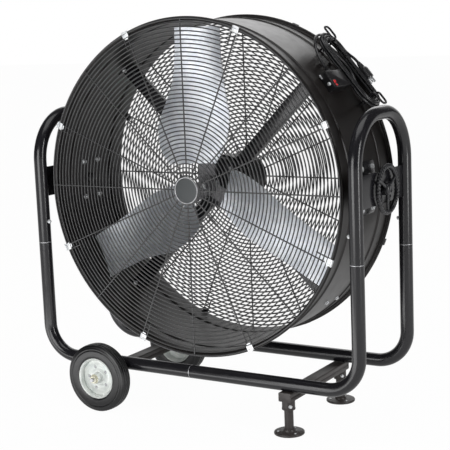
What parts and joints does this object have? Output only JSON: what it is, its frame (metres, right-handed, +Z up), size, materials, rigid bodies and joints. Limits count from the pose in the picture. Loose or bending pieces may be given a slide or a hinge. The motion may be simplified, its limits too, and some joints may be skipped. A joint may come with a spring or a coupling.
{
  "type": "drum fan",
  "caption": "Mobile drum fan: a steel drum with a direct-drive fan between wire guards, tilting in a bent-tube frame on wheels and feet.",
  "frame": {"origin": "on the floor, at the middle of the fan's footprint, midway between the two arches and between the front and rear legs", "axes": "+Z up, -Y the way the fan blows, +X towards the handwheel side"},
  "size_m": [1.0866, 0.504, 1.1476],
  "materials": {
    "frame_paint": "smooth semi-gloss black powder coat on steel tube",
    "foot_paint": "satin black powder coat on steel",
    "drum_paint": "semi-gloss black powder coat on rolled steel sheet",
    "grille_paint": "black coating on steel wire",
    "badge": "dark grey dished disc with a bright rim, no print",
    "box_paint": "satin black painted steel box",
    "motor_paint": "dark grey machine paint",
    "blade_aluminium": "bare mill-finish sheet with faint mottling",
    "steel": "bare machined steel",
    "zinc_plate": "bright zinc plate on pressed steel",
    "yellow_zinc": "yellow passivated zinc plate",
    "tyre_rubber": "matt black solid rubber",
    "cord_rubber": "black cord sheath with a soft sheen",
    "black_plastic": "moulded black plastic",
    "handwheel_plastic": "moulded black plastic with a soft sheen",
    "rocker_red": "gloss red switch plastic",
    "bronze": "sintered bronze",
    "friction_fibre": "pressed friction fibre"
  },
  "bodies": {
    "frame": {"arch_tube_right": "frame_paint", "arch_tube_left": "frame_paint", "base_tube_front_right": "frame_paint", "base_tube_rear_right": "frame_paint", "base_tube_front_left": "frame_paint", "base_tube_rear_left": "frame_paint", "foot_crossbar": "foot_paint", "axle_crossbar": "foot_paint", "foot_socket_front": "foot_paint", "foot_post_front": "foot_paint", "foot_plate_front": "foot_paint", "foot_socket_rear": "foot_paint", "foot_post_rear": "foot_paint", "foot_plate_rear": "foot_paint", "axle_rod": "steel", "axle_nut_front": "yellow_zinc", "axle_nut_rear": "yellow_zinc", "pivot_plate_right": "frame_paint", "pivot_plate_left": "frame_paint", "friction_disc_right": "friction_fibre", "friction_disc_left": "friction_fibre"},
    "wheel_front": {"wheel_tyre_front": "tyre_rubber", "wheel_rim_front": "zinc_plate", "wheel_bushing_front": "bronze"},
    "wheel_rear": {"wheel_tyre_rear": "tyre_rubber", "wheel_rim_rear": "zinc_plate", "wheel_bushing_rear": "bronze"},
    "drum": {"drum_shell": "drum_paint", "front_grille": "grille_paint", "rear_grille": "grille_paint", "centre_badge": "badge", "pivot_bracket_right": "drum_paint", "pivot_bracket_left": "drum_paint", "pivot_bolt_right": "steel", "pivot_bolt_left": "steel", "pivot_nut_left": "steel", "motor_shell": "motor_paint", "motor_bell_front": "motor_paint", "motor_bell_rear": "motor_paint", "motor_bearing_front": "steel", "motor_bearing_rear": "steel", "motor_stator": "steel", "motor_mount": "drum_paint", "switch_box": "box_paint", "cord_gland": "black_plastic", "cord_hook_upper": "grille_paint", "cord_hook_lower": "grille_paint", "cord_hank": "cord_rubber", "cord_tail": "cord_rubber", "cord_lead": "cord_rubber", "cord_plug": "black_plastic"},
    "rotor": {"motor_shaft": "steel", "rotor_core": "steel", "fan_hub": "steel", "fan_blade_1": "blade_aluminium", "fan_blade_2": "blade_aluminium", "fan_blade_3": "blade_aluminium"},
    "handwheel": {"tilt_handwheel": "handwheel_plastic"},
    "rocker": {"switch_rocker": "rocker_red"}
  },
  "joints": [
    {"name": "drum_tilt", "type": "hinge", "parent": "frame", "child": "drum", "pos_m": [-0.0015, 0.013, 0.665], "axis": [1, 0, 0], "range_deg": [-90, 90]},
    {"name": "fan_spin", "type": "hinge", "parent": "drum", "child": "rotor", "pos_m": [-0.0015, 0.013, 0.665], "axis": [0, -1, 0], "continuous": true},
    {"name": "wheel_front_spin", "type": "hinge", "parent": "frame", "child": "wheel_front", "pos_m": [-0.3065, -0.2115, 0.1016], "axis": [0, 1, 0], "continuous": true},
    {"name": "wheel_rear_spin", "type": "hinge", "parent": "frame", "child": "wheel_rear", "pos_m": [-0.3065, 0.2115, 0.1016], "axis": [0, 1, 0], "continuous": true},
    {"name": "handwheel_turn", "type": "hinge", "parent": "drum", "child": "handwheel", "pos_m": [0.5333, 0.013, 0.665], "axis": [1, 0, 0], "range_deg": [0, 360]},
    {"name": "switch_rock", "type": "hinge", "parent": "drum", "child": "rocker", "pos_m": [0.40585, -0.03, 0.95318], "axis": [0, 1, 0], "range_deg": [0, 16]}
  ]
}
